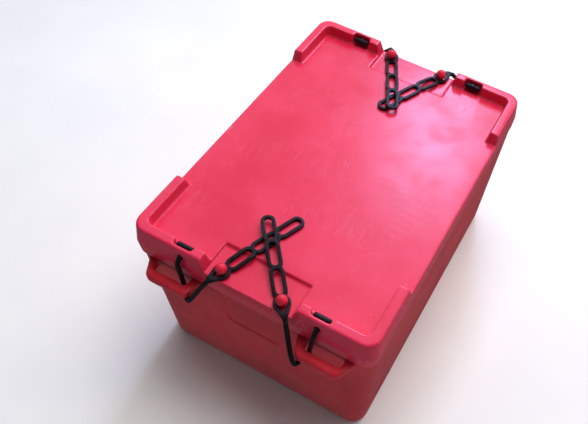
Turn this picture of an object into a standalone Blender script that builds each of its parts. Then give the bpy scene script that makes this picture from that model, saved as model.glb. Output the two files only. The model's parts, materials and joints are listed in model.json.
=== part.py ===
"""Insulated fish tote with a lift-off lid held down by four rubber ladder straps.

Frame: origin at the centre of the base's underside, +Z up, +Y along the length, +X across.
Front is the -Y end. The box and the lid are double-walled plastic skins round foam cores.
Each strap is anchored in the lid by its toggle, runs down through a ledge handle, under its
bar, up over the lid's edge and round a ball button.
"""

import math

import bmesh
import bpy
from mathutils import Matrix, Vector

NAME = "insulated_strap_lid_tote"
GAP = 0.0003                    # clearance between touching pieces
PAST = 0.010                    # how far a cutter runs past what it cuts

# ---- driving dimensions (metres) ----
SEAM_Z = 0.310                  # underside of the lid's rim
LID_TOP_Z = 0.380               # tops of the lid's corner ribs
RIB_HEIGHT = 0.0225
PLATEAU_Z = LID_TOP_Z - RIB_HEIGHT
PARTING_Z = 0.338               # widest level of the lid
BASE_HALF = (0.225, 0.316)      # half width and half length of the box at its foot
RIM_HALF = (0.233, 0.325)       # the same at the seam
LID_SEAM_HALF = (0.234, 0.326)
LID_PARTING_HALF = (0.235, 0.327)
LID_TOP_HALF = (0.2305, 0.3215)
WALL = 0.035                    # skin, foam and skin together
SKIN = 0.004
BOX_CORNER = 0.032              # plan radius of the box's corners
LID_CORNER = 0.024
BASE_EDGE = 0.012
WELL_EDGE = 0.015               # radius round the cold space's floor
EDGE = 0.004                    # radius of the small outer edges
SMALL_EDGE = 0.003
CORNER_STEPS = 5

SPIGOT_DEPTH = 0.018            # the lid's plug that drops inside the box
SPIGOT_CLEARANCE = 0.003
SPIGOT_DRAFT = 0.03             # inset for each metre of depth

RIB_WIDTH = 0.018
RIB_DRAFT = 0.002
LONG_RIB_END_Y = 0.1965         # the ribs along the sides stop here
SHORT_RIB_END_X = 0.092         # the ribs along the ends stop here
RIB_END_DRAFT = 0.007
RIB_CORNER = 0.012              # inner plan radius of the L-shaped ribs

PAD_HALF_X = 0.0845             # recessed strap pads at the lid's ends
PAD_START_Y = 0.261
PAD_DEPTH = 0.0055
PAD_Z = PLATEAU_Z - PAD_DEPTH
PAD_STEP_RUN = 0.004            # the step back up slopes by this much
PAD_STEP_ABOVE = 0.002

BUTTON_X = 0.058
BUTTON_Y = 0.310
BUTTON_Z = 0.3653               # centre of the ball
BALL_RADIUS = 0.01025
NECK_RADIUS = 0.006
STUD_RADIUS = 0.003
INSERT_RADIUS = 0.0055
INSERT_LENGTH = 0.015
STUD_LIFT = 0.001               # the stud stops this far above the insert's foot
STUD_INTO_BALL = 0.002          # and runs this far past the ball's centre
STUD_CHAMFER = 0.0005
BALL_STEPS = 10

TOGGLE = Vector((0.131, 0.307, 0.3683))
TOGGLE_LENGTH = 0.032
TOGGLE_RADIUS = 0.0055
TOGGLE_EDGE = 0.0025
NOTCH_MOUTH = 0.041             # width of the rib's notch at its inner face
NOTCH_BACK = 0.036
NOTCH_BACK_Y = 0.3150
NOTCH_OVERRUN = 0.006           # past the rib's inner face
CORD_RADIUS = 0.0045
CORD_EXIT = Vector((0.131, 0.330, 0.3570))
CORD_EXIT_RUN = 0.0040          # straight length outside the lid before the cord bends down
CORD_BEND = 0.009
CORD_OFF_LEDGE = CORD_RADIUS + 0.0016
RELEASE_HINGE = Vector((0.1155, 0.3595, 0.2832))    # a released strap swings about here

LEDGE_TOP = 0.3092
LEDGE_THICKNESS = 0.0185
LEDGE_OUTER_Y = 0.360
LEDGE_ROOT_X = (0.093, 0.206)
LEDGE_TIP_X = (0.108, 0.187)
HAND_HOLE_X = (0.115, 0.1855)
HAND_HOLE_Y = 0.3425
HAND_HOLE_RADIUS = 0.006
LEDGE_TIP_RADIUS = 0.008

PANEL_HALF_X = 0.055            # shallow panel in each end wall
PANEL_BOTTOM_Z = 0.211
PANEL_DEPTH = 0.0022
PANEL_CORNER = 0.012

FILL_HOLE_RADIUS = 0.011
FILL_HOLES = {"front": -0.120, "rear": 0.120}
PLUG_CHAMFER = 0.001
PLUG_RECESS = 0.0006

LADDER_PITCH = 0.0505
LADDER_LINKS = 3
LADDER_HALF_WIDTH = 0.0129
LADDER_BAR = 0.0065             # width and thickness of the ladder's bars
RING_OUTER = 0.0150             # the ring round the button
RING_INNER = 0.0092
FIRST_BAR_S = 0.0122            # distance from the button to the first cross bar
FORK_S = -0.031                 # the ring's tail runs out to here
LADDER_REST_Z = PLATEAU_Z + GAP + LADDER_BAR / 2
RING_Z = PAD_Z + LADDER_BAR / 2 + 0.0009
FORK_Z = 0.354

# Where the cord lies round the ledge's bar, at the +X, +Y corner.
WRAP_FALL = 0.010               # it is inside the hand hole from this far above the bar's underside
WRAP_INNER_X = (0.1250, 0.1240)
OUTSIDE_Y = LEDGE_OUTER_Y + CORD_OFF_LEDGE
# (x, y) under the bar, at its outer lower corner and at its outer upper one
WRAP_STRAIGHT = ((0.1185, 0.35125), (0.1135, OUTSIDE_Y), (0.1050, 0.3625))
WRAP_SLID = ((0.1140, 0.3490), (0.1035, 0.3560), (0.0914, 0.3499))  # in against the ledge's arm

# Each strap: side, end, lean of its ladder from the box's length, whether it lies on top of its
# neighbour, and where it leaves the bar.
STRAPS = {
    "front_left": (-1, -1, 21.5, False, WRAP_SLID),
    "front_right": (1, -1, 41.0, True, WRAP_STRAIGHT),
    "rear_left": (-1, 1, 27.0, True, WRAP_STRAIGHT),
    "rear_right": (1, 1, 24.0, False, WRAP_STRAIGHT),
}
LADDER_STATIONS = 72
RING_POINT = 0.004              # solid rubber between the ring's opening and the fork's round
TAIL_START = 0.005              # the tail cord starts this far from the fork's centre
EDGE_BEND_S = -0.022             # the fork bends down over the lid's edge from here
RISE_S = 0.010                  # beyond the button the ladder climbs off the pad
PAD_STEP_S = 0.050              # and lies on the plateau from here
CROSSING_S = 0.100              # a ladder on top has risen clear of the other by here
CROSSING_RISE = LADDER_BAR + 4 * GAP

# colour, roughness, metallic
RED = ((0.80, 0.085, 0.16, 1), 0.42, 0.0)
DEEP_RED = ((0.40, 0.04, 0.07, 1), 0.48, 0.0)
BALL_RED = ((0.62, 0.03, 0.07, 1), 0.32, 0.0)
BLACK_RUBBER = ((0.012, 0.013, 0.015, 1), 0.5, 0.0)
FOAM = ((0.86, 0.78, 0.55, 1), 0.9, 0.0)
BRASS = ((0.71, 0.50, 0.20, 1), 0.35, 1.0)
STEEL = ((0.60, 0.60, 0.61, 1), 0.35, 1.0)


# ---- helpers ----
def clear_scene():
    for obj in list(bpy.data.objects):
        bpy.data.objects.remove(obj, do_unlink=True)


def new_collection(name):
    collection = bpy.data.collections.new(name)
    bpy.context.scene.collection.children.link(collection)
    return collection


def make_material(name, look):
    colour, roughness, metallic = look
    material = bpy.data.materials.new(name)
    material.use_nodes = True
    shader = material.node_tree.nodes["Principled BSDF"]
    shader.inputs["Base Color"].default_value = colour
    shader.inputs["Roughness"].default_value = roughness
    shader.inputs["Metallic"].default_value = metallic
    material.diffuse_color = colour
    return material


def add_object(name, mesh, look=None, at=(0, 0, 0)):
    """Link the mesh as a part, or as a hidden tool when it has no look."""
    obj = bpy.data.objects.new(name, mesh)
    obj.location = at
    if look is None:
        tools.objects.link(obj)
        obj.hide_render = True
        obj.display_type = "WIRE"
    else:
        parts.objects.link(obj)
        mesh.materials.clear()
        mesh.materials.append(make_material(name, look))
    return obj


def add_boolean(obj, operation, other):
    modifier = obj.modifiers.new(operation.lower() + "_" + other.name, "BOOLEAN")
    modifier.operation = operation
    modifier.solver = "EXACT"
    modifier.object = other


def cut(obj, *others):
    for other in others:
        add_boolean(obj, "DIFFERENCE", other)


def join(obj, *others):
    for other in others:
        add_boolean(obj, "UNION", other)


def to_mesh(name, bm):
    """The bmesh as a new mesh with its faces pointing out."""
    bmesh.ops.recalc_face_normals(bm, faces=bm.faces)
    if bm.calc_volume(signed=True) < 0:
        bmesh.ops.reverse_faces(bm, faces=bm.faces)
    mesh = bpy.data.meshes.new(name)
    bm.to_mesh(mesh)
    bm.free()
    return mesh


def is_upright(edge):
    a, b = (v.co for v in edge.verts)
    return abs(a.z - b.z) > 1e-5 and a.x * b.x > 0 and a.y * b.y > 0


def bevel_edges(bm, edges, radius, steps):
    bmesh.ops.bevel(bm, geom=edges, offset=radius, segments=steps, profile=0.5, affect="EDGES")


def drafted_block(name, levels, corner, foot_edge=0.0, top_edge=0.0, steps=CORNER_STEPS):
    """Upright block through (z, half_x, half_y) levels, with rounded corners in plan."""
    bm = bmesh.new()
    bmesh.ops.create_cube(bm, size=2.0)
    low, high = levels[0], levels[-1]
    for vert in bm.verts:
        z, half_x, half_y = high if vert.co.z > 0 else low
        vert.co = Vector((math.copysign(half_x, vert.co.x), math.copysign(half_y, vert.co.y), z))
    if corner:
        bevel_edges(bm, [edge for edge in bm.edges if is_upright(edge)], corner, steps)
    for z, half_x, half_y in levels[1:-1]:
        everything = bm.verts[:] + bm.edges[:] + bm.faces[:]
        cut_ring = bmesh.ops.bisect_plane(
            bm, geom=everything, dist=1e-6, plane_co=(0, 0, z), plane_no=(0, 0, 1)
        )["geom_cut"]
        ring = [item for item in cut_ring if isinstance(item, bmesh.types.BMVert)]
        wide, long = (max(abs(vert.co[axis]) for vert in ring) for axis in (0, 1))
        for vert in ring:
            vert.co.x *= half_x / wide
            vert.co.y *= half_y / long
    for z, radius in ((low[0], foot_edge), (high[0], top_edge)):
        if radius:
            rim = [e for e in bm.edges if all(abs(v.co.z - z) < 1e-6 for v in e.verts)]
            bevel_edges(bm, rim, radius, 3)
    return to_mesh(name, bm)


def box_half(z):
    """Half width and half length of the box's outside at height z."""
    share = z / SEAM_Z
    return tuple(foot + (rim - foot) * share for foot, rim in zip(BASE_HALF, RIM_HALF))


def box_levels(z_low, z_high, inset):
    return [(z, *(half - inset for half in box_half(z))) for z in (z_low, z_high)]


def side_block(name, x_range, y_at, z_range, radius, upright=True):
    """Block at x_range whose y faces are y_at(z, outer); two or four of its edges are rounded."""
    bm = bmesh.new()
    bmesh.ops.create_cube(bm, size=2.0)
    for vert in bm.verts:
        x = x_range[1] if vert.co.x > 0 else x_range[0]
        z = z_range[1] if vert.co.z > 0 else z_range[0]
        vert.co = Vector((x, y_at(z, vert.co.y > 0), z))
    if radius:
        axis = 2 if upright else 1
        edges = [
            e for e in bm.edges
            if abs((e.verts[0].co - e.verts[1].co).normalized()[axis]) > 0.9
        ]
        bevel_edges(bm, edges, radius, 4)
    return to_mesh(name, bm)


def cylinder_mesh(name, radius, start, end, sides=24):
    """Closed cylinder between two points."""
    start, end = Vector(start), Vector(end)
    bm = bmesh.new()
    bmesh.ops.create_cone(
        bm, cap_ends=True, segments=sides, radius1=radius, radius2=radius,
        depth=(end - start).length,
    )
    turn = (end - start).to_track_quat("Z", "Y").to_matrix().to_4x4()
    bm.transform(Matrix.Translation((start + end) / 2) @ turn)
    return to_mesh(name, bm)


def turned_mesh(name, profile, look, at=(0, 0, 0), steps=24):
    """Solid of revolution; the profile runs from the top of the axis to its foot."""
    mesh = bpy.data.meshes.new(name)
    points = [(radius, 0, z) for radius, z in profile]
    mesh.from_pydata(points, [(i, i + 1) for i in range(len(points) - 1)], [])
    obj = add_object(name, mesh, look, at)
    screw = obj.modifiers.new("turn", "SCREW")
    screw.steps = steps
    screw.render_steps = steps
    screw.use_merge_vertices = True
    screw.merge_threshold = 0.00001
    screw.use_smooth_shade = True
    return obj


def tube_mesh(name, points, radius):
    """Round cord through the points, as a closed mesh."""
    curve = bpy.data.curves.new(name, "CURVE")
    curve.dimensions = "3D"
    curve.bevel_depth = radius
    curve.bevel_resolution = 2
    curve.use_fill_caps = True
    spline = curve.splines.new("POLY")
    spline.points.add(len(points) - 1)
    for point, place in zip(spline.points, points):
        point.co = (*place, 1)
    holder = bpy.data.objects.new(name, curve)
    tools.objects.link(holder)
    evaluated = holder.evaluated_get(bpy.context.evaluated_depsgraph_get())
    mesh = bpy.data.meshes.new_from_object(evaluated)
    bpy.data.objects.remove(holder)
    bm = bmesh.new()
    bm.from_mesh(mesh)
    bmesh.ops.remove_doubles(bm, verts=bm.verts, dist=1e-6)
    bpy.data.meshes.remove(mesh)
    return to_mesh(name, bm)


def smooth_path(corners, radius, steps=4):
    """The corner points with each inner corner rounded by a short quadratic curve."""
    path = [corners[0]]
    for before, corner, after in zip(corners, corners[1:], corners[2:]):
        back, ahead = before - corner, after - corner
        reach_back, reach_ahead = (
            corner + side.normalized() * min(radius, side.length * 0.45) for side in (back, ahead)
        )
        for i in range(steps + 1):
            t = i / steps
            path.append((1 - t) ** 2 * reach_back + 2 * t * (1 - t) * corner + t * t * reach_ahead)
    path.append(corners[-1])
    return path


def mirrored(point, side, end):
    """A point given for the +X, +Y corner, moved to another corner."""
    return Vector((point[0] * side, point[1] * end, point[2]))


def mirror_mesh(mesh, side, end):
    """Move a mesh made for the +X, +Y corner to another corner."""
    mesh.transform(Matrix.Diagonal((side, end, 1, 1)))
    if side * end < 0:
        mesh.flip_normals()


def arc(centre, radius, start, stop, steps):
    """Points on a circle in plan, with both ends."""
    angles = (start + (stop - start) * i / steps for i in range(steps + 1))
    return [(centre[0] + radius * math.cos(a), centre[1] + radius * math.sin(a)) for a in angles]


# ---- box ----
def make_ledge(side, end):
    """Ledge handle with its hand hole, at one corner of an end wall."""
    tag = f"{'left' if side < 0 else 'right'}_{'front' if end < 0 else 'rear'}"
    root_y = RIM_HALF[1] - SKIN
    bm = bmesh.new()
    bmesh.ops.create_cube(bm, size=2.0)
    for vert in bm.verts:
        outer = vert.co.y > 0
        xs = LEDGE_TIP_X if outer else LEDGE_ROOT_X
        z = LEDGE_TOP if vert.co.z > 0 else LEDGE_TOP - LEDGE_THICKNESS
        vert.co = Vector((xs[vert.co.x > 0], LEDGE_OUTER_Y if outer else root_y, z))
    tips = [e for e in bm.edges if is_upright(e) and e.verts[0].co.y > root_y + 1e-4]
    bevel_edges(bm, tips, LEDGE_TIP_RADIUS, 4)
    rims = [
        e for e in bm.edges
        if abs(e.verts[0].co.z - e.verts[1].co.z) < 1e-6
        and max(v.co.y for v in e.verts) > root_y + 1e-4
    ]
    bevel_edges(bm, rims, EDGE, 2)
    bm.transform(Matrix.Diagonal((side, end, 1, 1)))
    ledge = add_object("ledge_" + tag, to_mesh("ledge_" + tag, bm))

    hole = side_block(
        "hand_hole_" + tag, HAND_HOLE_X, lambda z, outer: HAND_HOLE_Y if outer else root_y - PAST,
        (LEDGE_TOP - LEDGE_THICKNESS - PAST, LEDGE_TOP + PAST), HAND_HOLE_RADIUS,
    )
    mirror_mesh(hole, side, end)
    cut(ledge, add_object("hand_hole_" + tag, hole))
    return ledge


def make_panel_cutter(name, end, deeper=0.0, wider=0.0):
    """Cutter for the shallow panel in an end wall, following the wall's draft."""
    def face(z, outer):
        wall = box_half(z)[1]
        return wall + PAST if outer else wall - PANEL_DEPTH - deeper

    half = PANEL_HALF_X + wider
    z_range = (PANEL_BOTTOM_Z - wider, SEAM_Z + PANEL_CORNER + PAST)
    mesh = side_block(name, (-half, half), face, z_range, PANEL_CORNER, upright=False)
    mirror_mesh(mesh, 1, end)
    return add_object(name, mesh)


def make_fill_holes(name, underside_z):
    """Cutters for the holes the foam is poured through."""
    low, high = underside_z - PAST, underside_z + 1.5 * SKIN
    return [
        add_object(f"{name}_{tag}", cylinder_mesh(name, FILL_HOLE_RADIUS, (0, y, low), (0, y, high)))
        for tag, y in FILL_HOLES.items()
    ]


def make_plugs(name, underside_z):
    """Plugs pressed into those holes."""
    radius = FILL_HOLE_RADIUS - GAP
    profile = [
        (0, SKIN), (radius - PLUG_CHAMFER, SKIN), (radius, SKIN - PLUG_CHAMFER),
        (radius, PLUG_RECESS), (0, PLUG_RECESS),
    ]
    for tag, y in FILL_HOLES.items():
        turned_mesh(f"{name}_{tag}", profile, DEEP_RED, (0, y, underside_z))


def make_box():
    rim_z = SEAM_Z - GAP
    outside = drafted_block(
        "box_skin", box_levels(0, rim_z, 0), BOX_CORNER, foot_edge=BASE_EDGE, top_edge=0.002
    )
    skin = add_object("box_skin", outside, DEEP_RED)
    join(skin, *(make_ledge(side, end) for side in (-1, 1) for end in (-1, 1)))

    inside = drafted_block(
        "cold_space", box_levels(WALL, SEAM_Z + PAST, WALL), BOX_CORNER, foot_edge=WELL_EDGE
    )
    panels = [make_panel_cutter(f"panel_{end}", end) for end in (-1, 1)]
    cut(skin, add_object("cold_space", inside), *panels)
    cut(skin, make_box_foam("box_foam_space", 0), *make_fill_holes("box_fill_hole", 0))
    make_box_foam("box_foam_core", GAP, FOAM)
    make_plugs("box_fill_plug", 0)


def make_box_foam(name, clearance, look=None):
    """The space between the box's skins, or the foam that fills it."""
    inset, outset = SKIN + clearance, WALL - SKIN - clearance
    block = drafted_block(
        name, box_levels(inset, SEAM_Z - GAP - inset, inset), BOX_CORNER - inset,
        foot_edge=BASE_EDGE - SKIN,
    )
    well = drafted_block(
        name + "_well", box_levels(outset, SEAM_Z + PAST, outset), BOX_CORNER, foot_edge=WELL_EDGE
    )
    foam = add_object(name, block, look)
    panels = [make_panel_cutter(f"{name}_panel_{end}", end, inset, inset) for end in (-1, 1)]
    cut(foam, add_object(well.name, well), *panels)
    return foam


# ---- lid ----
def make_notch(tag, side, end):
    """Tapered notch in a rib for the strap's toggle, open at the top and the inside."""
    inner_y = LID_TOP_HALF[1] - RIB_WIDTH - NOTCH_OVERRUN
    bm = bmesh.new()
    bmesh.ops.create_cube(bm, size=2.0)
    for vert in bm.verts:
        outer = vert.co.y > 0
        half = (NOTCH_BACK if outer else NOTCH_MOUTH) / 2
        z = LID_TOP_Z + PAST if vert.co.z > 0 else PLATEAU_Z
        y = NOTCH_BACK_Y if outer else inner_y
        vert.co = Vector((TOGGLE.x + math.copysign(half, vert.co.x), y, z))
    backs = [e for e in bm.edges if is_upright(e) and e.verts[0].co.y > NOTCH_BACK_Y - 1e-5]
    bevel_edges(bm, backs, EDGE, 3)
    bm.transform(Matrix.Diagonal((side, end, 1, 1)))
    return add_object("notch_" + tag, to_mesh("notch_" + tag, bm))


def make_cord_hole(tag, side, end):
    start = TOGGLE + (CORD_EXIT - TOGGLE) * 0.1
    finish = TOGGLE + (CORD_EXIT - TOGGLE) * 1.3
    ends = [mirrored(point, side, end) for point in (start, finish)]
    name = "cord_hole_" + tag
    return add_object(name, cylinder_mesh(name, CORD_RADIUS + 2 * GAP, *ends))


def make_plateau_cutters():
    """Three blocks that sink the plateau and leave the L-shaped corner ribs."""
    top = LID_TOP_Z + PAST
    clear_x, clear_y = (half + PAST for half in LID_PARTING_HALF)
    drafted = RIB_DRAFT * (top - PLATEAU_Z) / RIB_HEIGHT
    inner = [half - RIB_WIDTH for half in LID_TOP_HALF]
    middle = drafted_block(
        "plateau_middle",
        [(PLATEAU_Z, inner[0] - RIB_DRAFT, inner[1] - RIB_DRAFT),
         (top, inner[0] - RIB_DRAFT + drafted, inner[1] - RIB_DRAFT + drafted)],
        RIB_CORNER, steps=4,
    )
    slope = RIB_END_DRAFT * (top - PLATEAU_Z) / RIB_HEIGHT
    across_y = LONG_RIB_END_Y - RIB_END_DRAFT
    along_x = SHORT_RIB_END_X - RIB_END_DRAFT
    across = drafted_block(
        "plateau_across", [(PLATEAU_Z, clear_x, across_y), (top, clear_x, across_y + slope)], 0
    )
    along = drafted_block(
        "plateau_along", [(PLATEAU_Z, along_x, clear_y), (top, along_x + slope, clear_y)], 0
    )
    return [add_object(mesh.name, mesh) for mesh in (middle, across, along)]


def make_pad_cutter(end):
    """Sinks the strap pad at one end, with a sloping step up to the plateau."""
    def face(z, outer):
        if outer:
            return LID_PARTING_HALF[1] + PAST
        return PAD_START_Y - (PAD_STEP_RUN if z > PLATEAU_Z else 0)

    name = f"pad_{end}"
    z_range = (PAD_Z, PLATEAU_Z + PAD_STEP_ABOVE)
    mesh = side_block(name, (-PAD_HALF_X, PAD_HALF_X), face, z_range, 0)
    mirror_mesh(mesh, 1, end)
    return add_object(name, mesh)


def lid_foam_block(name, inset):
    """The space between the lid's skins, drawn in by the inset."""
    foot_z = SEAM_Z - SPIGOT_DEPTH + SKIN + inset
    top_z = PAD_Z - SKIN - inset
    half = spigot_half(SEAM_Z)
    levels = [
        (foot_z, half[0] - 2 * SKIN - inset, half[1] - 2 * SKIN - inset),
        (top_z, half[0] - SKIN - inset, half[1] - SKIN - inset),
    ]
    return drafted_block(name, levels, BOX_CORNER - SKIN)


def spigot_half(z):
    """Half width and half length of the lid's plug at height z."""
    draft = SPIGOT_DRAFT * (SEAM_Z - z)
    return [half - WALL - SPIGOT_CLEARANCE - draft for half in box_half(SEAM_Z)]


def make_lid():
    levels = [
        (SEAM_Z, *LID_SEAM_HALF), (PARTING_Z, *LID_PARTING_HALF), (LID_TOP_Z, *LID_TOP_HALF),
    ]
    outside = drafted_block("lid_skin", levels, LID_CORNER, foot_edge=SMALL_EDGE, top_edge=EDGE)
    skin = add_object("lid_skin", outside, RED)
    foot_z, root_z = SEAM_Z - SPIGOT_DEPTH, SEAM_Z + PAST
    spigot = drafted_block(
        "spigot", [(z, *spigot_half(z)) for z in (foot_z, root_z)], BOX_CORNER, foot_edge=SMALL_EDGE
    )
    join(skin, add_object("spigot", spigot))
    cut(skin, *make_plateau_cutters(), make_pad_cutter(-1), make_pad_cutter(1))

    cut(skin, add_object("lid_foam_space", lid_foam_block("lid_foam_space", 0)))
    cut(skin, *make_fill_holes("lid_fill_hole", foot_z))
    add_object("lid_foam_core", lid_foam_block("lid_foam_core", GAP), FOAM)
    make_plugs("lid_fill_plug", foot_z)

    for tag, (side, end, *_lie) in STRAPS.items():
        cut(skin, make_notch(tag, side, end), make_cord_hole(tag, side, end))
        make_button(tag, side, end, skin)


def make_button(tag, side, end, skin):
    """Ball button, its stud and the threaded insert moulded into the lid's skin."""
    x, y = BUTTON_X * side, BUTTON_Y * end
    insert_top = PAD_Z - GAP
    pocket_foot = insert_top - INSERT_LENGTH - GAP
    pocket = cylinder_mesh(
        "pocket", INSERT_RADIUS + GAP, (x, y, pocket_foot), (x, y, PAD_Z + PAD_STEP_ABOVE), 20
    )
    cut(skin, add_object("insert_pocket_" + tag, pocket))

    bore = STUD_RADIUS + GAP
    foot = -INSERT_LENGTH
    turned_mesh(
        "button_insert_" + tag,
        [(bore, 0), (INSERT_RADIUS, 0), (INSERT_RADIUS, foot), (bore, foot), (bore, 0)],
        BRASS, (x, y, insert_top), 20,
    )
    stud_foot = insert_top - INSERT_LENGTH + STUD_LIFT
    stud_top = BUTTON_Z + STUD_INTO_BALL
    length = stud_top - stud_foot
    turned_mesh(
        "button_stud_" + tag,
        [(0, length), (STUD_RADIUS - STUD_CHAMFER, length), (STUD_RADIUS, length - STUD_CHAMFER),
         (STUD_RADIUS, 0), (0, 0)],
        STEEL, (x, y, stud_foot), 16,
    )
    seat = PAD_Z + GAP
    neck_z = BUTTON_Z - math.sqrt(BALL_RADIUS ** 2 - NECK_RADIUS ** 2)
    first = math.pi / 2
    last = math.atan2(neck_z - BUTTON_Z, NECK_RADIUS)
    ball = [
        (BALL_RADIUS * math.cos(a), BALL_RADIUS * math.sin(a) + BUTTON_Z - seat)
        for a in (first + (last - first) * i / BALL_STEPS for i in range(1, BALL_STEPS + 1))
    ]
    hole_top = stud_top + GAP - seat
    profile = [(0, BUTTON_Z + BALL_RADIUS - seat), *ball, (NECK_RADIUS, 0), (bore, 0),
               (bore, hole_top), (0, hole_top)]
    turned_mesh("ball_button_" + tag, profile, BALL_RED, (x, y, seat), 24)


# ---- straps ----
def ladder_frame(side, end, lean):
    """Unit vector from the button along the ladder, and the one across it."""
    angle = math.radians(lean)
    along = Vector((-side * math.sin(angle), -end * math.cos(angle), 0))
    return along, Vector((-along.y, along.x, 0))


def ladder_half_width(s):
    """Half of the ladder's outline across its length: a ring, its fork and the links."""
    widths = [0.0]
    if abs(s) < RING_OUTER:
        widths.append(math.sqrt(RING_OUTER ** 2 - s * s))
    fork_end = FORK_S + CORD_RADIUS
    if FORK_S <= s <= fork_end:
        widths.append(math.sqrt(max(CORD_RADIUS ** 2 - (s - fork_end) ** 2, 0)))
    lean = math.asin((RING_OUTER - CORD_RADIUS) / -fork_end)
    tangent_s = -RING_OUTER * math.sin(lean)
    if fork_end - CORD_RADIUS * math.sin(lean) <= s <= tangent_s:
        widths.append((RING_OUTER + s * math.sin(lean)) / math.cos(lean))
    for link in range(LADDER_LINKS):
        middle = FIRST_BAR_S + (link + 0.5) * LADDER_PITCH
        straight = (LADDER_PITCH + LADDER_BAR) / 2 - LADDER_HALF_WIDTH
        beyond = max(abs(s - middle) - straight, 0)
        if beyond < LADDER_HALF_WIDTH:
            widths.append(math.sqrt(LADDER_HALF_WIDTH ** 2 - beyond ** 2))
    return max(widths)


def ladder_height(s, upper):
    """Height of the ladder's middle plane: down at the button and the lid's edge."""
    if s < EDGE_BEND_S:
        return RING_Z + (FORK_Z - RING_Z) * (EDGE_BEND_S - s) / (EDGE_BEND_S - FORK_S)
    if s < RISE_S:
        return RING_Z
    if upper:
        rise = LADDER_REST_Z + CROSSING_RISE - RING_Z
        return RING_Z + rise * min((s - RISE_S) / (CROSSING_S - RISE_S), 1)
    return RING_Z + (LADDER_REST_Z - RING_Z) * min((s - RISE_S) / (PAD_STEP_S - RISE_S), 1)


def add_outline(curve, points):
    spline = curve.splines.new("POLY")
    spline.points.add(len(points) - 1)
    spline.use_cyclic_u = True
    for point, (s, w) in zip(spline.points, points):
        point.co = (s, w, 0, 1)


def make_ladder(tag, side, end, lean, upper):
    """Ring and links of a strap as one flat moulding, bent down over the lid's edge."""
    curve = bpy.data.curves.new("ladder", "CURVE")
    curve.dimensions = "2D"
    curve.fill_mode = "BOTH"
    curve.extrude = LADDER_BAR / 2
    last = FIRST_BAR_S + LADDER_LINKS * LADDER_PITCH + LADDER_BAR / 2
    step = (last - FORK_S) / LADDER_STATIONS
    stations = [FORK_S + step * i for i in range(1, LADDER_STATIONS)]
    rim = [(s, ladder_half_width(s)) for s in stations]
    add_outline(curve, [(FORK_S, 0), *rim, (last, 0), *((s, -w) for s, w in reversed(rim))])
    slot = LADDER_HALF_WIDTH - LADDER_BAR
    for link in range(LADDER_LINKS):
        low = FIRST_BAR_S + link * LADDER_PITCH + LADDER_BAR / 2 + slot
        high = FIRST_BAR_S + (link + 1) * LADDER_PITCH - LADDER_BAR / 2 - slot
        add_outline(curve, arc((high, 0), slot, -math.pi / 2, math.pi / 2, 6)
                    + arc((low, 0), slot, math.pi / 2, 3 * math.pi / 2, 6))
    point_s = FORK_S + 2 * CORD_RADIUS + RING_POINT
    lean_in = math.acos(RING_INNER / -point_s)
    add_outline(curve, [(point_s, 0), *arc((0, 0), RING_INNER, math.pi + lean_in,
                                           3 * math.pi - lean_in, 18)])
    holder = bpy.data.objects.new("ladder", curve)
    tools.objects.link(holder)
    evaluated = holder.evaluated_get(bpy.context.evaluated_depsgraph_get())
    flat = bpy.data.meshes.new_from_object(evaluated)
    bpy.data.objects.remove(holder)

    bm = bmesh.new()
    bm.from_mesh(flat)
    bpy.data.meshes.remove(flat)
    bmesh.ops.remove_doubles(bm, verts=bm.verts, dist=1e-6)
    for bend in (EDGE_BEND_S, RISE_S, CROSSING_S if upper else PAD_STEP_S):
        everything = bm.verts[:] + bm.edges[:] + bm.faces[:]
        bmesh.ops.bisect_plane(bm, geom=everything, dist=1e-7, plane_co=(bend, 0, 0),
                               plane_no=(1, 0, 0))
    bmesh.ops.triangulate(bm, faces=bm.faces)
    along, across = ladder_frame(side, end, lean)
    button = Vector((BUTTON_X * side, BUTTON_Y * end, 0))
    fork = button + along * FORK_S + Vector((0, 0, FORK_Z))
    for vert in bm.verts:
        s, w, z = vert.co
        lifted = Vector((0, 0, z + ladder_height(s, upper)))
        vert.co = button + along * s + across * w + lifted - fork
    name = f"strap_{tag}_ladder"
    add_object(name, to_mesh(name, bm), BLACK_RUBBER, fork)
    return fork


def bar_wrap(wrap):
    """Cord path round the ledge's bar, from the hand hole to where it leaves for the lid."""
    bar_foot = LEDGE_TOP - LEDGE_THICKNESS
    low = bar_foot - CORD_OFF_LEDGE
    inner_y = HAND_HOLE_Y - CORD_OFF_LEDGE
    inner = Vector((WRAP_INNER_X[0], inner_y, bar_foot + WRAP_FALL))
    inner_corner = Vector((WRAP_INNER_X[1], inner_y, low))
    heights = (low, low, LEDGE_TOP)
    return inner, inner_corner, *(Vector((*at, z)) for at, z in zip(wrap, heights))


def make_tether(tag, side, end, wrap):
    """Toggle in the lid's notch and its cord, through the hand hole to under the ledge's bar."""
    inner, inner_corner, under, *_outside = bar_wrap(wrap)
    exit_bend = CORD_EXIT + (CORD_EXIT - TOGGLE).normalized() * CORD_EXIT_RUN
    corners = [TOGGLE, exit_bend, inner, inner_corner, under]
    corners = [mirrored(corner, side, end) for corner in corners]
    origin = corners[-1]
    path = [point - origin for point in smooth_path(corners, CORD_BEND)]
    name = f"strap_{tag}_tether"
    cord = add_object(name, tube_mesh(name, path, CORD_RADIUS), BLACK_RUBBER, origin)
    half = Vector((TOGGLE_LENGTH / 2, 0, 0))
    head = corners[0]
    toggle = cylinder_mesh("toggle_" + tag, TOGGLE_RADIUS, head - half, head + half, 20)
    bm = bmesh.new()
    bm.from_mesh(toggle)
    caps = [e for e in bm.edges if abs(e.verts[0].co.x - e.verts[1].co.x) < 1e-6]
    bevel_edges(bm, caps, TOGGLE_EDGE, 2)
    bm.to_mesh(toggle)
    bm.free()
    join(cord, add_object("toggle_" + tag, toggle))


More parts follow.
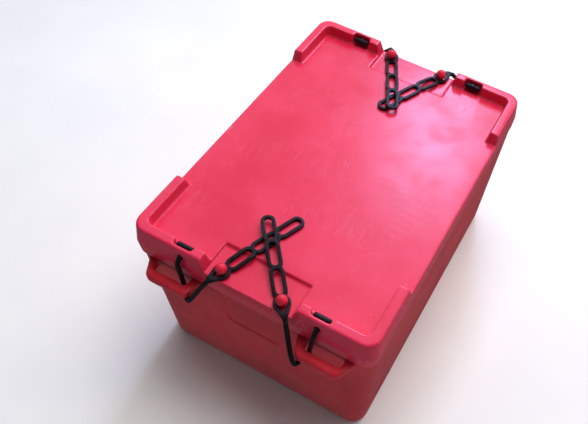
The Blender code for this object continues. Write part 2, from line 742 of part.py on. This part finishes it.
def make_tail(tag, side, end, wrap, fork):
    """Cord from under the ledge's bar up to the fork of the ring."""
    before, start, corner, top = (mirrored(point, side, end) for point in bar_wrap(wrap)[1:])
    hinge = mirrored(RELEASE_HINGE, side, end)
    onward = (corner - start).normalized()
    start += onward * (GAP + CORD_RADIUS * math.sin(onward.angle(start - before)))
    finish = fork + (top - fork).normalized() * TAIL_START
    path = smooth_path([start, corner, top, finish], CORD_BEND)
    name = f"strap_{tag}_tail"
    add_object(name, tube_mesh(name, [p - hinge for p in path], CORD_RADIUS), BLACK_RUBBER, hinge)


def make_straps():
    for tag, (side, end, lean, upper, wrap) in STRAPS.items():
        fork = make_ladder(tag, side, end, lean, upper)
        make_tether(tag, side, end, wrap)
        make_tail(tag, side, end, wrap, fork)


clear_scene()
parts = new_collection(NAME)
tools = new_collection("cutters")
make_box()
make_lid()
make_straps()
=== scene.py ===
"""Looks of the insulated tote with its strapped lid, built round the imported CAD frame."""
import json
import math

import bmesh
import bpy
from mathutils import Euler, Matrix, Vector


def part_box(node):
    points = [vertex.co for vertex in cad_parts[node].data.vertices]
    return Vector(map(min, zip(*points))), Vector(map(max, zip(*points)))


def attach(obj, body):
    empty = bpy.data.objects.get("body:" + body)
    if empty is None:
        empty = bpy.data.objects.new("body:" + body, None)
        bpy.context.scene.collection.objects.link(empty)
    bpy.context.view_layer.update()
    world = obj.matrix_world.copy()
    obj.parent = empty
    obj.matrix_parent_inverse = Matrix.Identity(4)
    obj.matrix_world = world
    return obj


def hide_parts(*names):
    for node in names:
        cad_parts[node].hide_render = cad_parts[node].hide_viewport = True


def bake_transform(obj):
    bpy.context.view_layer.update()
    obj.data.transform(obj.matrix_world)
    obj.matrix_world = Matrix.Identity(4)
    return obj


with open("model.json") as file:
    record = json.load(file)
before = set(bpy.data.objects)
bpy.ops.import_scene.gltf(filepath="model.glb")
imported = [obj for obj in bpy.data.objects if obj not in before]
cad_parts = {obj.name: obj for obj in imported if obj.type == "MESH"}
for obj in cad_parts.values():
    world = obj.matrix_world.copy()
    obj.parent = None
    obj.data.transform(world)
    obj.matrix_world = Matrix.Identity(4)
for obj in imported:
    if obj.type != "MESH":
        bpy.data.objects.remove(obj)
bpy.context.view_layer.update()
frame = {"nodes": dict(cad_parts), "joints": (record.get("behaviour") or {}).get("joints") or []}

# ---- how finely the moulded surfaces are rebuilt (metres) ----
COARSE = 1.0
LID_VOXEL = 0.0016 * COARSE
BOX_VOXEL = 0.0018 * COARSE
STRAP_VOXEL = 0.0008 * COARSE
LID_PASSES = 4
BOX_PASSES = 2
STRAP_PASSES = 6
SKIN_KEEP = 0.35                # share of the triangles left after thinning
STRAP_KEEP = 0.5

# ---- upright holes that the visible skins close over ----
FILL_HOLE_REACH = 0.0114
BUTTON_HOLE_REACH = 0.0062

# ---- light: the far side of the sky is the bright one ----
SKY_DARK = (0.13, 0.13, 0.14, 1)
SKY_BRIGHT = (0.95, 0.92, 1.05, 1)
SKY_FAR = (-0.1, 0.55)          # dark and bright values of a direction's y
SKY_HIGH = (-0.05, 0.25)        # and of its z

FLOOR_SIZE = 14
FLOOR_GAP = 0.0005              # keeps the floor clear of the base

# ---- camera ----
SENSOR_WIDTH = 36
CAMERA_AT = (0.3615, -0.7270, 1.3070)
CAMERA_TURN = (35.167, -4.427, 27.739)
CAMERA_LENS = 40.582
CAMERA_SHIFT = (-0.1361, 0.0221)

# ---- straps ----
CORD_RADIUS = 0.0045
CORD_END_RADIUS = 0.0044        # where the cord meets the fork
FORK_RADIUS = 0.0037
FORK_FILL = 0.007               # how far the cord runs on into the fork
BALL_PITCH = 0.0012
BALL_SEGMENTS = 16
BALL_RINGS = 10
SEAM_REACH = 0.0026             # the tail's points this near the tether are its first ring
FORK_REACH = 0.0069             # and those this near the fork are its last
HOLE_SIDE_X = 0.112             # the strap's parts inside the hand hole lie beyond this
HOLE_OUTER_Y = 0.345            # and within this
TETHER_CUT_Z = 0.300
TAIL_CUT = 0.028                # from the fork back to the seam of tail and ladder
SHARP = math.radians(60)

# ---- wear and painted edge highlight of the moulded plastic ----
ROUGHER = 0.13                  # spread of its roughness
# radius of the lighter edges: rubbed wear plus a painted highlight along them
EDGE_HIGHLIGHT_AND_WEAR_RADIUS = 0.004
MAIN_SCRATCHES = (60.0, 4, 0.008)   # how close together, direction in degrees, width
MORE_SCRATCHES = ((42.0, -9, 0.006), (50.0, 17, 0.006), (36.0, 96, 0.003))

STRAPS = ("front_left", "front_right", "rear_left", "rear_right")
JOINTS = {joint["name"]: joint for joint in frame["joints"]}


# ---- colour ----
def srgb(red, green, blue):
    """A screen colour, 0 to 255, as the linear colour that shaders take."""
    def linear(value):
        value /= 255
        return value / 12.92 if value <= 0.04045 else ((value + 0.055) / 1.055) ** 2.4

    return (linear(red), linear(green), linear(blue), 1.0)


class Shader:
    """A material's node tree, with short calls for the nodes used here."""

    def __init__(self, name):
        self.material = bpy.data.materials.new(name)
        self.material.use_nodes = True
        self.tree = self.material.node_tree
        self.surface = self.tree.nodes["Principled BSDF"]
        coordinates = self.tree.nodes.new("ShaderNodeTexCoord")
        self.place = coordinates.outputs["Object"]

    def link(self, source, target):
        if isinstance(source, bpy.types.NodeSocket):
            self.tree.links.new(source, target)
        else:
            target.default_value = source

    def node(self, kind, inputs=None, **settings):
        node = self.tree.nodes.new("ShaderNode" + kind)
        for key, value in settings.items():
            setattr(node, key, value)
        for key, value in (inputs or {}).items():
            self.link(value, node.inputs[key])
        return node

    def scaled(self, scale, turn=0.0):
        """The place turned about Z, then scaled along its new axes."""
        inputs = {
            "Vector": self.place,
            "Rotation": (0, 0, math.radians(turn)),
            "Scale": tuple(1 / value for value in scale),
        }
        return self.node("Mapping", inputs, vector_type="TEXTURE").outputs["Vector"]

    def noise(self, scale, detail=4.0, rough=0.55, vector=None):
        node = self.node("TexNoise", {
            "Vector": vector or self.place, "Scale": scale, "Detail": detail, "Roughness": rough,
        })
        return node.outputs["Fac"]

    def spots(self, scale, vector=None):
        node = self.node("TexVoronoi", {"Vector": vector or self.place, "Scale": scale})
        return node.outputs["Distance"]

    def ramp(self, factor, low, high, from_value=0.0, to_value=1.0):
        node = self.node("MapRange", {
            "Value": factor, "From Min": low, "From Max": high,
            "To Min": from_value, "To Max": to_value,
        }, interpolation_type="SMOOTHSTEP")
        return node.outputs["Result"]

    def math(self, operation, first, second=0.0):
        node = self.node("Math", operation=operation, use_clamp=False)
        self.link(first, node.inputs[0])
        self.link(second, node.inputs[1])
        return node.outputs[0]

    def mix(self, factor, first, second):
        node = self.node("Mix", data_type="RGBA")
        self.link(factor, node.inputs["Factor"])
        self.link(first, node.inputs["A"])
        self.link(second, node.inputs["B"])
        return node.outputs["Result"]

    def bump(self, height, distance, strength=1.0, after=None):
        inputs = {"Height": height, "Distance": distance, "Strength": strength}
        if after is not None:
            inputs["Normal"] = after
        return self.node("Bump", inputs).outputs["Normal"]

    def finish(self, colour, roughness, normal=None, **values):
        self.link(colour, self.surface.inputs["Base Color"])
        self.link(roughness, self.surface.inputs["Roughness"])
        if normal is not None:
            self.link(normal, self.surface.inputs["Normal"])
        for key, value in values.items():
            self.link(value, self.surface.inputs[key.replace("_", " ")])
        return self.material


def facing(shader, first, second):
    """How much two directions agree, -1 to 1."""
    node = shader.node("VectorMath", operation="DOT_PRODUCT")
    shader.link(first, node.inputs[0])
    shader.link(second, node.inputs[1])
    return node.outputs["Value"]


def scratches(shader, scale, turn, width):
    """Thin straight marks in one direction: 1 on a mark, 0 beside it.

    A face that looks along the marks' crosswise direction gets none, because they would
    curl there.
    """
    across = (math.cos(math.radians(turn)), math.sin(math.radians(turn)), 0)
    head_on = facing(shader, shader.node("NewGeometry").outputs["Normal"], across)
    stretched = shader.scaled((scale, scale * 0.015, scale * 0.1), turn)
    field = shader.noise(1.0, 1.0, 0.5, stretched)
    line = shader.math("ABSOLUTE", shader.math("SUBTRACT", field, 0.5))
    patches = shader.ramp(shader.noise(9.0 + abs(turn) / 30, 2.0), 0.56, 0.66)
    sideways = shader.ramp(shader.math("ABSOLUTE", head_on), 0.6, 0.35)
    gate = shader.math("MULTIPLY", patches, sideways)
    return shader.math("MULTIPLY", shader.ramp(line, width, 0.0), gate)


def edge_highlight_and_wear(shader, radius):
    """1 along the mesh's edges, where the true normal leaves the rounded one; it drives rubbed
    wear and a painted edge highlight.
    """
    rounded = shader.node("Bevel", {"Radius": radius}, samples=4).outputs["Normal"]
    true = shader.node("NewGeometry").outputs["Normal"]
    return shader.ramp(facing(shader, rounded, true), 0.992, 0.93)


def moulded_plastic(name, base, deep, pale, edge_highlight_and_scuff, shine, smoothest):
    """Rotomoulded polyethylene: cloudy colour, orange peel, fine scratches, rubbed edges with a
    painted edge highlight.
    """
    shader = Shader(name)
    cloud = shader.noise(5.0, 3.0, 0.6)
    colour = shader.mix(shader.ramp(cloud, 0.35, 0.70), base, deep)
    mottle = shader.noise(55.0, 5.0, 0.65)
    colour = shader.mix(shader.ramp(mottle, 0.5, 0.8, 0.0, 0.07), colour, pale)
    fine = shader.noise(420.0, 3.0, 0.6)
    colour = shader.mix(shader.ramp(fine, 0.45, 0.75, 0.0, 0.12), colour, deep)

    marks = scratches(shader, *MAIN_SCRATCHES)
    for scale, turn, width in MORE_SCRATCHES:
        marks = shader.math("MAXIMUM", marks, scratches(shader, scale, turn, width))
    colour = shader.mix(shader.math("MULTIPLY", marks, 0.32), colour, pale)

    pits = shader.ramp(shader.spots(70.0), 0.045, 0.015)
    colour = shader.mix(shader.math("MULTIPLY", pits, 0.35), colour, deep)
    # Lighter edges, in patches: rubbed wear plus a painted highlight along the edges.
    patchy = shader.ramp(mottle, 0.40, 0.62, 0.15, 1)
    rubbed_and_highlit = shader.math("MULTIPLY", edge_highlight_and_wear(shader, EDGE_HIGHLIGHT_AND_WEAR_RADIUS), patchy)
    colour = shader.mix(shader.math("MULTIPLY", rubbed_and_highlit, edge_highlight_and_scuff), colour, pale)

    roughness = shader.ramp(shader.noise(14.0, 4.0), 0.3, 0.75, smoothest, smoothest + ROUGHER)
    roughness = shader.math("ADD", roughness, shader.math("MULTIPLY", marks, 0.18))
    peel = shader.noise(160.0, 2.0, 0.5)
    normal = shader.bump(peel, 0.0003, 0.25)
    ripple = shader.node("TexWave", {
        "Vector": shader.place, "Scale": 19.0, "Distortion": 2.5,
        "Detail": 2.0, "Detail Scale": 0.6,
    }, bands_direction="Y").outputs["Fac"]
    rippled = shader.ramp(shader.noise(6.0, 1.0), 0.45, 0.65)
    normal = shader.bump(shader.math("MULTIPLY", ripple, rippled), 0.0002, 0.2, normal)
    normal = shader.bump(shader.noise(9.0, 1.0, 0.5), 0.0016, 0.2, normal)
    normal = shader.bump(shader.math("ADD", marks, pits), 0.0002, -0.4, normal)
    return shader.finish(colour, roughness, normal, Specular_IOR_Level=shine)


def ball_plastic():
    """Smooth, glossier plastic of the ball buttons."""
    shader = Shader("ball_plastic")
    cloud = shader.noise(60.0, 3.0)
    colour = shader.mix(shader.ramp(cloud, 0.35, 0.7), srgb(222, 34, 62), srgb(200, 22, 48))
    rub = shader.ramp(shader.noise(300.0, 4.0), 0.6, 0.8, 0.0, 0.2)
    colour = shader.mix(rub, colour, srgb(238, 110, 130))
    roughness = shader.ramp(shader.noise(90.0, 3.0), 0.3, 0.7, 0.30, 0.42)
    normal = shader.bump(shader.noise(350.0, 2.0), 0.0001, 0.2)
    return shader.finish(colour, roughness, normal)


def black_rubber():
    """Moulded rubber: near black, dusty in its pores, slightly waxy."""
    shader = Shader("black_rubber")
    bloom = shader.noise(45.0, 4.0)
    colour = shader.mix(shader.ramp(bloom, 0.4, 0.75), srgb(10, 11, 14), srgb(20, 22, 27))
    dust = shader.ramp(shader.noise(700.0, 4.0, 0.7), 0.62, 0.82, 0.0, 0.18)
    colour = shader.mix(dust, colour, srgb(70, 74, 84))
    roughness = shader.ramp(shader.noise(120.0, 3.0), 0.3, 0.7, 0.32, 0.48)
    normal = shader.bump(shader.noise(900.0, 3.0), 0.00012, 0.5)
    normal = shader.bump(shader.noise(150.0, 2.0), 0.0003, 0.35, normal)
    return shader.finish(colour, roughness, normal, Specular_IOR_Level=0.32)


def foam():
    """Poured closed-cell foam."""
    shader = Shader("foam")
    cells = shader.spots(900.0)
    colour = shader.mix(shader.ramp(cells, 0.1, 0.7), srgb(196, 176, 118), srgb(232, 216, 164))
    normal = shader.bump(cells, 0.0004, 0.7)
    return shader.finish(colour, 0.9, normal)


def turned_metal(name, colour, dull):
    """Turned metal with fine rings round its axis."""
    shader = Shader(name)
    rings = shader.noise(1.0, 3.0, 0.6, shader.scaled((60.0, 60.0, 4000.0)))
    tone = shader.mix(shader.ramp(rings, 0.3, 0.7), colour, dull)
    roughness = shader.ramp(rings, 0.3, 0.7, 0.22, 0.42)
    return shader.finish(tone, roughness, shader.bump(rings, 0.0001, 0.4), Metallic=1.0)


# ---- mesh work ----
def loose_copy(node):
    """The CAD node's mesh as a welded bmesh."""
    bm = bmesh.new()
    bm.from_mesh(frame["nodes"][node].data)
    bmesh.ops.remove_doubles(bm, verts=bm.verts, dist=1e-6)
    return bm


def island_of(seed):
    found, queue = {seed}, [seed]
    while queue:
        vert = queue.pop()
        for edge in vert.link_edges:
            other = edge.other_vert(vert)
            if other not in found:
                found.add(other)
                queue.append(other)
    return found


def close_columns(bm, columns):
    """Fill upright holes of the given (x, y, radius), and drop the hollow they led to."""
    def inside(vert):
        return any(math.hypot(vert.co.x - x, vert.co.y - y) < r for x, y, r in columns)

    walls = [face for face in bm.faces if all(inside(vert) for vert in face.verts)]
    bmesh.ops.delete(bm, geom=walls, context="FACES")
    outer = island_of(max(bm.verts, key=lambda vert: vert.co.x))
    bmesh.ops.delete(bm, geom=[v for v in bm.verts if v not in outer], context="VERTS")
    rims = [edge for edge in bm.edges if edge.is_boundary]
    bmesh.ops.holes_fill(bm, edges=rims, sides=0)


def new_piece(name, bm):
    mesh = bpy.data.meshes.new(name)
    bm.to_mesh(mesh)
    bm.free()
    piece = bpy.data.objects.new(name, mesh)
    bpy.context.scene.collection.objects.link(piece)
    return piece


def soften(name, bm, voxel, passes, keep):
    """Rebuild a hard-edged solid as one even skin with moulded edges, then thin its flats."""
    piece = new_piece(name, bm)
    remesh = piece.modifiers.new("skin", "REMESH")
    remesh.mode = "VOXEL"
    remesh.voxel_size = voxel
    smooth = piece.modifiers.new("round", "SMOOTH")
    smooth.factor = 0.5
    smooth.iterations = passes
    thin = piece.modifiers.new("thin", "DECIMATE")
    thin.ratio = keep
    evaluated = piece.evaluated_get(bpy.context.evaluated_depsgraph_get())
    mesh = bpy.data.meshes.new_from_object(evaluated)
    piece.modifiers.clear()
    piece.data = mesh
    mesh.name = name
    mesh.shade_smooth()
    return piece


def paint(piece, material):
    piece.data.materials.clear()
    piece.data.materials.append(material)


def dress(piece, material):
    paint(piece, material)


def centre_of(node):
    low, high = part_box(node)
    return (low + high) / 2


def make_skin(node, material, body, voxel, passes, extra_columns=()):
    """Visible moulded skin over a CAD skin node, with its fill holes closed."""
    plugs = node.split("_")[0] + "_fill_plug"
    columns = [(0, centre_of(plug).y, FILL_HOLE_REACH)
               for plug in frame["nodes"] if plug.startswith(plugs)]
    bm = loose_copy(node)
    close_columns(bm, columns + list(extra_columns))
    piece = soften(node + "_moulded", bm, voxel, passes, SKIN_KEEP)
    dress(piece, material)
    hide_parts(node)
    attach(piece, body)


def make_shells():
    lid_red = moulded_plastic(
        "lid_plastic", srgb(226, 50, 84), srgb(212, 30, 62), srgb(240, 140, 160), 0.35, 0.5, 0.20)
    box_red = moulded_plastic(
        "box_plastic", srgb(216, 38, 55), srgb(192, 28, 46), srgb(228, 140, 146), 0.45, 0.32, 0.30)
    pockets = []
    for strap in STRAPS:
        seat = centre_of("button_insert_" + strap)
        pockets.append((seat.x, seat.y, BUTTON_HOLE_REACH))
    make_skin("lid_skin", lid_red, "lid", LID_VOXEL, LID_PASSES, pockets)
    make_skin("box_skin", box_red, "box", BOX_VOXEL, BOX_PASSES)
    for node, obj in frame["nodes"].items():
        if "fill_plug" in node:
            paint(obj, box_red)


def add_chain(bm, start, end, radius_start, radius_end):
    """A row of small balls that bridges two pieces of one moulding."""
    steps = max(1, round((end - start).length / BALL_PITCH))
    for i in range(steps + 1):
        share = i / steps
        radius = radius_start + (radius_end - radius_start) * share
        place = Matrix.Translation(start.lerp(end, share))
        bmesh.ops.create_uvsphere(
            bm, u_segments=BALL_SEGMENTS, v_segments=BALL_RINGS, radius=radius, matrix=place)


def add_node(bm, node):
    """Add the CAD node's welded mesh, and return its points."""
    other = loose_copy(node)
    mesh = bpy.data.meshes.new("copy")
    other.to_mesh(mesh)
    other.free()
    bm.from_mesh(mesh)
    points = [vert.co.copy() for vert in mesh.vertices]
    bpy.data.meshes.remove(mesh)
    return points


def mean(points):
    return sum(points, Vector()) / len(points)


def split_off(piece, name, point, normal, is_near=lambda place: True):
    """Cut the piece by a plane and give the near part beyond it an object of its own."""
    point, normal = Vector(point), Vector(normal)

    def side(place):
        return (place - point).dot(normal) if is_near(place) else -1

    halves = []
    for sign in (-1, 1):
        bm = bmesh.new()
        bm.from_mesh(piece.data)
        faces = [face for face in bm.faces if is_near(face.calc_center_median())]
        edges = {edge for face in faces for edge in face.edges}
        verts = {vert for face in faces for vert in face.verts}
        bmesh.ops.bisect_plane(
            bm, geom=[*verts, *edges, *faces], dist=1e-7, plane_co=point, plane_no=normal)
        drop = [vert for vert in bm.verts if side(vert.co) * sign < -1e-6]
        bmesh.ops.delete(bm, geom=drop, context="VERTS")
        rims = [edge for edge in bm.edges if edge.is_boundary]
        bmesh.ops.holes_fill(bm, edges=rims, sides=0)
        mesh = bpy.data.meshes.new(name)
        bm.to_mesh(mesh)
        bm.free()
        mesh.shade_smooth()
        mesh.set_sharp_from_angle(angle=SHARP)
        halves.append(mesh)
    piece.data = halves[0]
    other = bpy.data.objects.new(name, halves[1])
    bpy.context.scene.collection.objects.link(other)
    return other


def make_strap(strap, rubber):
    """One moulded rubber strap, in three pieces that meet where it never bends."""
    nodes = [f"strap_{strap}_{part}" for part in ("tether", "tail", "ladder")]
    fork = Vector(JOINTS[strap + "_ladder_drop"]["pos_m"])
    button = centre_of("ball_button_" + strap)
    along = Vector((button.x - fork.x, button.y - fork.y, 0)).normalized()

    bm = bmesh.new()
    tether, tail, _ladder = (add_node(bm, node) for node in nodes)
    seam = mean([p for p in tail if min((p - q).length for q in tether) < SEAM_REACH])
    add_chain(bm, seam, seam, CORD_RADIUS, CORD_RADIUS)
    tail_end = mean([p for p in tail if (p - fork).length < FORK_REACH])
    add_chain(bm, tail_end, fork + along * FORK_FILL, CORD_END_RADIUS, FORK_RADIUS)
    whole = soften(strap + "_strap_tail", bm, STRAP_VOXEL, STRAP_PASSES, STRAP_KEEP)

    def in_hand_hole(place):
        return abs(place.x) > HOLE_SIDE_X and abs(place.y) < HOLE_OUTER_Y

    cord = split_off(whole, strap + "_strap_tether", (0, 0, TETHER_CUT_Z), (0, 0, 1), in_hand_hole)
    run = (fork - tail_end).normalized()
    links = split_off(whole, strap + "_strap_ladder", fork - run * TAIL_CUT, run)
    for piece, node in zip((cord, whole, links), nodes):
        dress(piece, rubber)
        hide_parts(node)

    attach(cord, "lid")
    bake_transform(whole)
    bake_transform(links)


def make_straps():
    rubber = black_rubber()
    for strap in STRAPS:
        make_strap(strap, rubber)


def make_hardware():
    """Better surfaces for the CAD nodes that stay."""
    looks = {
        "foam_core": foam(),
        "button_insert": turned_metal("brass", srgb(206, 164, 92), srgb(150, 112, 58)),
        "button_stud": turned_metal("steel", srgb(190, 192, 196), srgb(128, 130, 134)),
    }
    for node, obj in frame["nodes"].items():
        for key, material in looks.items():
            if key in node:
                paint(obj, material)


def make_buttons():
    material = ball_plastic()
    for strap in STRAPS:
        node = frame["nodes"]["ball_button_" + strap]
        paint(node, material)
        node.data.shade_smooth()
        weld = node.modifiers.new("weld", "WELD")
        weld.merge_threshold = 0.00001
        soft = node.modifiers.new("finer", "SUBSURF")
        soft.levels = soft.render_levels = 1


# ---- stage ----
def make_floor():
    bpy.ops.mesh.primitive_plane_add(size=FLOOR_SIZE, location=(0, 0, -FLOOR_GAP))
    floor = bpy.context.object
    floor.name = "floor"
    shader = Shader("floor")
    cloud = shader.ramp(shader.noise(3.0), 0.3, 0.7)
    tone = shader.mix(cloud, srgb(252, 252, 244), srgb(246, 246, 240))
    floor.data.materials.append(shader.finish(tone, 0.85))
    floor.visible_glossy = False


def add_light(name, place, target, size, power, colour=(1, 1, 1), mirrored=True):
    data = bpy.data.lights.new(name, "AREA")
    data.shape = "RECTANGLE"
    data.size, data.size_y = size
    data.energy = power
    data.color = colour
    light = bpy.data.objects.new(name, data)
    light.location = place
    aim = Vector(target) - Vector(place)
    light.rotation_euler = aim.to_track_quat("-Z", "Y").to_euler()
    light.visible_glossy = mirrored
    bpy.context.scene.collection.objects.link(light)


def make_light():
    add_light("top", (0.15, 0.7, 2.5), (0, 0, 0.3), (1.6, 1.6), 46, mirrored=False)
    add_light(
        "window", (-0.42, 2.15, 2.45), (0.12, 0.1, 0.36), (0.55, 0.95), 19,
        colour=(0.55, 0.73, 1.37))
    make_sky()


def make_sky():
    world = bpy.data.worlds.new("studio")
    world.use_nodes = True
    tree = world.node_tree
    direction = tree.nodes.new("ShaderNodeTexCoord").outputs["Generated"]
    split = tree.nodes.new("ShaderNodeSeparateXYZ")
    tree.links.new(direction, split.inputs[0])
    both = tree.nodes.new("ShaderNodeMath")
    both.operation = "MULTIPLY"
    for socket, axis, (dark, bright) in zip(both.inputs, "YZ", (SKY_FAR, SKY_HIGH)):
        share = tree.nodes.new("ShaderNodeMapRange")
        share.interpolation_type = "SMOOTHSTEP"
        share.inputs["From Min"].default_value = dark
        share.inputs["From Max"].default_value = bright
        tree.links.new(split.outputs[axis], share.inputs["Value"])
        tree.links.new(share.outputs["Result"], socket)
    sky = tree.nodes.new("ShaderNodeMix")
    sky.data_type = "RGBA"
    tree.links.new(both.outputs[0], sky.inputs["Factor"])
    sky.inputs["A"].default_value = SKY_DARK
    sky.inputs["B"].default_value = SKY_BRIGHT
    tree.links.new(sky.outputs["Result"], tree.nodes["Background"].inputs["Color"])
    bpy.context.scene.world = world
    bpy.context.scene.view_settings.view_transform = "Standard"


def make_camera():
    data = bpy.data.cameras.new("camera")
    data.lens = CAMERA_LENS
    data.sensor_width = SENSOR_WIDTH
    data.shift_x, data.shift_y = CAMERA_SHIFT
    camera = bpy.data.objects.new("camera", data)
    camera.location = CAMERA_AT
    camera.rotation_euler = Euler([math.radians(turn) for turn in CAMERA_TURN])
    bpy.context.scene.collection.objects.link(camera)
    bpy.context.scene.camera = camera


make_shells()
make_straps()
make_buttons()
make_hardware()
make_floor()
make_light()
make_camera()
